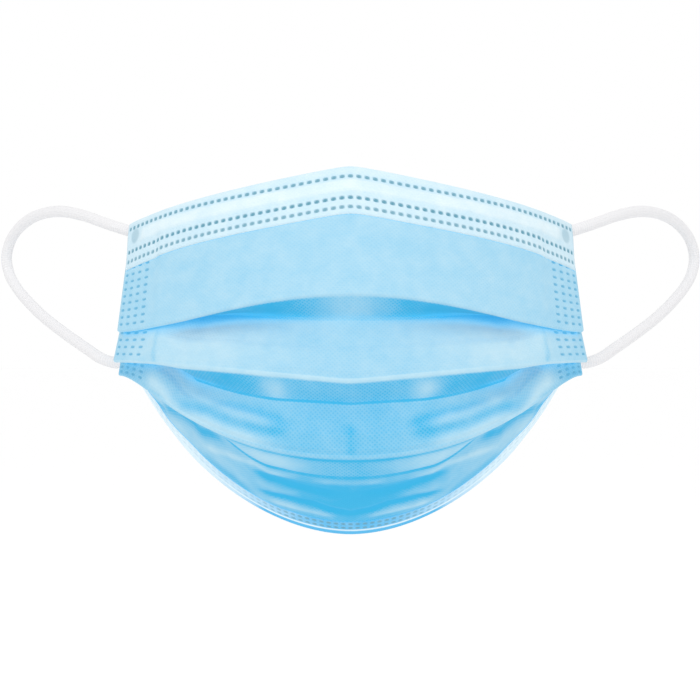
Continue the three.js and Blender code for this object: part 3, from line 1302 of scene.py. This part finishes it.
    def lip(
        self, edge: np.ndarray, beyond: np.ndarray, normals: np.ndarray
    ) -> tuple[np.ndarray, np.ndarray]:
        """Folds the band over the edge of the cloth.

        Args:
            edge: Points of the outermost row, on the surface under the band.
            beyond: The directions past the edge there.
            normals: The directions away from the face there.

        Returns:
            Points, as columns by rows, from the edge round to the back of the cloth, and how far down the
            flat band each row is.
        """
        angles = np.linspace(0, math.pi, self.lip_steps + 1)[1:]
        turn = [edge + self.stand_off * (math.cos(a) * normals + math.sin(a) * beyond) for a in angles]
        back = [turn[-1] - beyond * step for step in self.tuck]
        folded = math.pi * self.stand_off
        past = np.concatenate((angles * self.stand_off, folded + np.arange(1, len(back) + 1)))
        return np.stack(turn + back, axis=1), -self.overhang - past

    def build(self) -> bpy.types.Object:
        """Returns the band as an object."""
        at_top = self.edge is Edge.TOP
        u = self.columns()
        down = self.rows() if at_top else self.rows()[::-1]
        share = self.drawn_in(u, down) / self.form.run_length(u, self.edge.value)[:, None]
        if not at_top:
            share = 1 - share
        runs = np.full(len(down), self.edge.value)
        grid = self.form.surface(u, runs, share)
        normals = outward(grid)
        weld = self.marks(u, down)
        wire = self.over_wire(u, down)
        free_width, free_press = self.free_edge
        free = eased(self.height - free_width, self.height, down)[None, :]
        lift = self.stand_off + self.wire_lift * wire - self.dot_depth * weld - free_press * free
        lift = lift + self.relief.lift(u, runs, np.clip(share, 0, 1))
        tint = np.clip(self.tints(u, down, wire), 0, 1)
        first, second = (0, 1) if at_top else (-1, -2)
        beyond = unit(grid[:, first] - grid[:, second])
        lip, behind = self.lip(grid[:, first], beyond, normals[:, first])
        turned = np.repeat(tint[:, first][:, None], lip.shape[1], axis=1)

        def joined(leg_part: np.ndarray, lip_part: np.ndarray) -> np.ndarray:
            """Returns the rows of the leg and the lip, in their order down the cloth."""
            rows = (lip_part[:, ::-1], leg_part) if at_top else (leg_part, lip_part)
            return np.concatenate(rows, axis=1)

        flat_down = joined(down[None, :], behind[None, :])[0] + self.flat_start
        flat = flat_map(u * self.form.half_width + FLAT_SPAN / 2, flat_down)
        marks = {"tint": joined(tint, turned), "weld": joined(weld, np.zeros(turned.shape))}
        piece = cloth_mesh(self.name + "_cloth", joined(grid + normals * lift[..., None], lip), flat, marks)
        thicken(piece, self.thickness)
        return piece

    def dress(self, piece: bpy.types.Object) -> None:
        """Gives the band its finish and its place in the frame."""
        piece.data.materials.append(self.finish.material())
        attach(piece, "root")
        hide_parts(self.name)


@dataclass
class NoseWire:
    """The flat coated wire under the top band, which is bent over the bridge of the nose.

    Attributes:
        form: The folded surface under it.
        drop: From the top edge of the cloth to the middle of the wire, in mm.
        width: Its width, in mm.
        thickness: Its thickness, in mm.
        reach: Its half length as a share of the mask's half width.
        stand_off: From the middle surface of the cloth to the middle of the wire, in mm.
        slip: How much nearer to the edge it lies at the sides, in mm.
        slip_span: Shares of the half width between which that comes about.
        columns: How many mesh columns it has.
        rows: How many mesh rows it has.
        finish: Its finish.
    """

    form: PleatedForm
    drop: float = 5.4
    width: float = 3.6
    thickness: float = 0.6
    reach: float = 0.85
    stand_off: float = 0.72
    slip: float = 1.1
    slip_span: tuple[float, float] = (0.15, 0.7)
    columns: int = 121
    rows: int = 7
    finish: CoatedWireFinish = CoatedWireFinish()

    def build(self) -> bpy.types.Object:
        """Returns the wire as an object."""
        u = np.linspace(-self.reach, self.reach, self.columns)
        down = self.drop + np.linspace(-0.5, 0.5, self.rows) * self.width
        true_down = down[None, :] - self.slip * eased(*self.slip_span, np.abs(u))[:, None]
        share = true_down / self.form.run_length(u, Edge.TOP.value)[:, None]
        grid = self.form.surface(u, np.full(self.rows, Edge.TOP.value), share)
        flat = flat_map(u * self.form.half_width + FLAT_SPAN / 2, down)
        place = grid + outward(grid) * self.stand_off
        piece = cloth_mesh("nose_wire_strip", place, flat, {})
        thicken(piece, self.thickness)
        return piece

    def dress(self, piece: bpy.types.Object) -> None:
        """Gives the wire its finish and its place in the frame."""
        piece.data.materials.append(self.finish.material())
        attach(piece, "root")
        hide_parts("nose_wire")


@dataclass
class EarLoop:
    """A round knitted elastic, pressed flat where it is welded inside the corners of the mask.

    Attributes:
        name: The CAD node that it stands for.
        side: 1 for the loop at +X, -1 for its mirror image.
        route: Points of its centre line at +X, in mm, from the top corner to the bottom one.
        diameter: Its diameter, in mm.
        wales: How many upright rows of stitches go round it.
        wale_height: How far a wale stands out, as a share of the radius.
        wale_sides: Mesh columns in each wale.
        weld: How much of each end is pressed flat, in mm.
        spread: How much wider a pressed end is, as a share of the diameter.
        thin: Thickness of the free cord and of its pressed ends, as shares of the diameter.
        facing: The level direction at +X that its flat side faces.
        steps: Mesh rows along it.
        finish: Its finish.
    """

    name: str
    side: int
    diameter: float = 3.6
    wales: int = 12
    wale_height: float = 0.03
    wale_sides: int = 3
    weld: float = 7.0
    spread: float = 0.22
    thin: tuple[float, float] = (0.94, 0.5)
    facing: tuple[float, float] = (0.84, -0.54)
    steps: int = 170
    route: tuple[tuple[float, float, float], ...] = (
        (62.3, 34.8, -21.4),
        (64.6, 41.0, -20.4),
        (68.1, 47.0, -19.0),
        (74.5, 52.5, -16.9),
        (79.0, 58.5, -15.3),
        (83.2, 64.0, -13.7),
        (87.5, 70.0, -12.4),
        (92.0, 76.5, -11.4),
        (96.5, 83.0, -11.2),
        (100.8, 89.0, -11.8),
        (105.0, 95.0, -13.3),
        (109.2, 101.0, -16.3),
        (112.2, 105.2, -20.4),
        (113.5, 107.0, -25.6),
        (112.4, 105.2, -31.0),
        (109.4, 100.2, -35.8),
        (105.5, 94.0, -40.0),
        (99.8, 84.5, -45.0),
        (92.4, 72.5, -50.2),
        (84.2, 60.0, -55.4),
        (78.2, 51.6, -58.9),
        (73.4, 48.2, -60.0),
        (69.2, 45.9, -58.8),
        (65.4, 42.2, -58.3),
        (63.5, 37.4, -60.2),
    )
    finish: ElasticFinish = ElasticFinish()

    def centre_line(self) -> np.ndarray:
        """Returns evenly spaced points of a smooth curve through the route, in mm."""
        p = np.array(self.route) * (self.side, 1, 1)
        p = np.vstack((2 * p[0] - p[1], p, 2 * p[-1] - p[-2]))
        knots = np.concatenate(((0.0,), np.cumsum(np.linalg.norm(np.diff(p, axis=0), axis=1) ** 0.5)))
        curve = []
        for k in range(1, len(p) - 2):
            t0, t1, t2, t3 = knots[k - 1 : k + 3]
            t = np.linspace(t1, t2, 40, endpoint=k == len(p) - 3)[:, None]
            a1 = (t1 - t) / (t1 - t0) * p[k - 1] + (t - t0) / (t1 - t0) * p[k]
            a2 = (t2 - t) / (t2 - t1) * p[k] + (t - t1) / (t2 - t1) * p[k + 1]
            a3 = (t3 - t) / (t3 - t2) * p[k + 1] + (t - t2) / (t3 - t2) * p[k + 2]
            b1 = (t2 - t) / (t2 - t0) * a1 + (t - t0) / (t2 - t0) * a2
            b2 = (t3 - t) / (t3 - t1) * a2 + (t - t1) / (t3 - t1) * a3
            curve.append((t2 - t) / (t2 - t1) * b1 + (t - t1) / (t2 - t1) * b2)
        points = np.vstack(curve)
        far = distances(points)
        even = np.linspace(0, far[-1], self.steps + 1)
        return np.stack([np.interp(even, far, points[:, axis]) for axis in range(3)], axis=-1)

    def build(self) -> bpy.types.Object:
        """Returns the loop as an object."""
        line = self.centre_line()
        far = distances(line)
        ahead = unit(np.gradient(line, axis=0))
        plane = np.array((self.facing[0] * self.side, self.facing[1], 0.0))
        thick_way = unit(plane - (ahead @ plane)[:, None] * ahead)
        wide_way = np.cross(ahead, thick_way)
        pressed = 1 - eased(0.25 * self.weld, 1.3 * self.weld, np.minimum(far, far[-1] - far))
        half_wide = self.diameter / 2 * (1 + self.spread * pressed)
        half_thick = self.diameter / 2 * (self.thin[0] + (self.thin[1] - self.thin[0]) * pressed)
        sides = self.wale_sides * self.wales
        angle = np.linspace(0, 2 * math.pi, sides + 1)
        knit = 1 + self.wale_height * np.cos(self.wales * angle)[:, None]
        grid = (
            line[None]
            + (np.cos(angle)[:, None] * half_wide * knit)[..., None] * wide_way[None]
            + (np.sin(angle)[:, None] * half_thick * knit)[..., None] * thick_way[None]
        )
        flat = flat_map(angle / 2 * self.diameter, far * 0.98)
        marks = {"weld": np.tile(pressed, (sides + 1, 1))}
        return cloth_mesh(self.name + "_cord", grid, flat, marks, closed=True)

    def dress(self, piece: bpy.types.Object) -> None:
        """Gives the loop its finish and its place in the frame."""
        piece.data.materials.append(self.finish.material())
        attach(piece, "root")
        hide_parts(self.name)


@dataclass(frozen=True)
class SoftLight:
    """A square soft light that points at the mask.

    Attributes:
        name: The light's name.
        place: Where it hangs, in metres.
        size: The length of its side, in metres.
        power: Its power, in watts.
    """

    name: str
    place: tuple[float, float, float]
    size: float
    power: float

    def build(self, target: tuple[float, float, float]) -> None:
        """Adds the light, pointed at the target."""
        data = bpy.data.lights.new(self.name, "AREA")
        data.size = self.size
        data.energy = self.power
        light = bpy.data.objects.new(self.name, data)
        light.location = self.place
        light.rotation_euler = (Vector(target) - light.location).to_track_quat("-Z", "Y").to_euler()
        bpy.context.collection.objects.link(light)


@dataclass(frozen=True)
class Studio:
    """A white studio: pale floor, white surround, a large soft light above and a weak one in front.

    Attributes:
        distance: From the camera to the nose bridge's plane, in metres.
        aside: How far the camera stands to the right of the mask's middle, in metres.
        height: Height of the camera, in metres.
        field: Width of that plane that fills the picture, in metres.
        sensor: Width of the camera's sensor, in mm.
        floor: Height of the floor, in metres.
        floor_reach: Half of the floor's side, in metres.
        surround: Strength of the white surround.
        target: What the lights point at.
        soft_lights: The lights.
    """

    distance: float = 1.2
    aside: float = -0.15 * MM
    height: float = -0.056
    field: float = 700 / 3.3 * MM
    sensor: float = 36.0
    floor: float = -0.2
    floor_reach: float = 30.0
    surround: float = 1.0
    target: tuple[float, float, float] = (0.0, 0.0, -0.06)
    soft_lights: tuple[SoftLight, ...] = (
        SoftLight("key", (-0.1, -0.75, 0.85), 0.7, 3.2),
        SoftLight("fill", (0.1, -1.4, 0.1), 0.9, 0.8),
    )

    def camera(self) -> None:
        """Adds the camera."""
        data = bpy.data.cameras.new("camera")
        data.sensor_width = self.sensor
        data.lens = self.sensor * self.distance / self.field
        data.clip_end = 50.0
        camera = bpy.data.objects.new("camera", data)
        camera.location = (self.aside, -self.distance, self.height)
        camera.rotation_euler = (math.radians(90), 0, 0)
        bpy.context.collection.objects.link(camera)
        bpy.context.scene.camera = camera

    def lights(self) -> None:
        """Adds the white surround and the soft lights."""
        world = bpy.data.worlds.new("white surround")
        world.use_nodes = True
        background = world.node_tree.nodes["Background"]
        background.inputs["Color"].default_value = linear("#ffffff")
        background.inputs["Strength"].default_value = self.surround
        bpy.context.scene.world = world
        for light in self.soft_lights:
            light.build(self.target)

    def ground(self) -> None:
        """Adds the floor."""
        bm = bmesh.new()
        bmesh.ops.create_grid(bm, x_segments=4, y_segments=4, size=self.floor_reach)
        bmesh.ops.translate(bm, verts=bm.verts, vec=(0, 0, self.floor))
        mesh = bpy.data.meshes.new("floor")
        bm.to_mesh(mesh)
        bm.free()
        floor = bpy.data.objects.new("floor", mesh)
        material, tree = new_material("white paper")
        add_shader(tree, {"Base Color": linear("#ffffff"), "Roughness": 1.0}, {})
        mesh.materials.append(material)
        bpy.context.collection.objects.link(floor)

    def build(self) -> None:
        """Sets up the whole studio."""
        self.camera()
        self.lights()
        self.ground()
        bpy.context.scene.view_settings.view_transform = "Standard"


# The bands' finishes: their deep colour is painted shade, and they glow by emission, as painted light.
PALE = SpunbondFinish("spunbond band", "#d3e0e4", "#70b4d3", "#5b8da0", bond_depth=0.03, glow=0.12)
HEM = SpunbondFinish("spunbond hem", "#cddce2", "#50a5d0", "#608ea2", bond_depth=0.03, glow=0.25)


def made(maker: EarLoop | EdgeBand | InnerPly | OuterPly | NoseWire) -> bpy.types.Object:
    """Builds, dresses and logs a piece, and returns it."""
    piece = maker.build()
    maker.dress(piece)
    LOG.info("%s: %d faces", piece.name, len(piece.data.polygons))
    return piece


def main() -> None:
    """Builds and dresses the mask, and logs each piece's face count."""
    logging.basicConfig(level=logging.INFO, format="%(name)s: %(message)s")
    Studio().build()
    form = PleatedForm()
    relief = Relief(form)
    made(EarLoop("ear_loop_left", -1))
    made(EarLoop("ear_loop_right", 1))
    top = EdgeBand(
        form,
        relief,
        "top_band",
        Edge.TOP,
        height=15.5,
        dot_rows=(1.7, 9.7, 13.0),
        row_strengths=(0.9, 1.0, 0.85),
        finish=PALE,
        wire=(3.6, 7.2),
        edge_tint=-0.05,
        slip=1.1,
        spots=((0.93, 4.8, 2.3, 2.4),),
    )
    hem = EdgeBand(
        form,
        relief,
        "bottom_hem",
        Edge.BOTTOM,
        height=6.6,
        dot_rows=(2.6, 5.2),
        row_strengths=(0.9, 0.9),
        finish=HEM,
        # Painted shade: the hem is painted deep blue at the middle, where it curls under the chin and faces
        # down, and near white at the sides; its fold gets a painted highlight and the lip under it painted
        # shade.
        middle_tint=0.85,
        side_tint=0.02,
        edge_tint=-0.8,
        edge_strip=(0.9, 1.5),
        lip_tint=1.2,
        slip=3.0,
        fading=0.8,
    )
    bands = [made(top), made(hem)]
    made(InnerPly(form, relief))
    made(OuterPly(form, relief, bands))
    made(NoseWire(form))


if __name__ == "__main__":
    main()
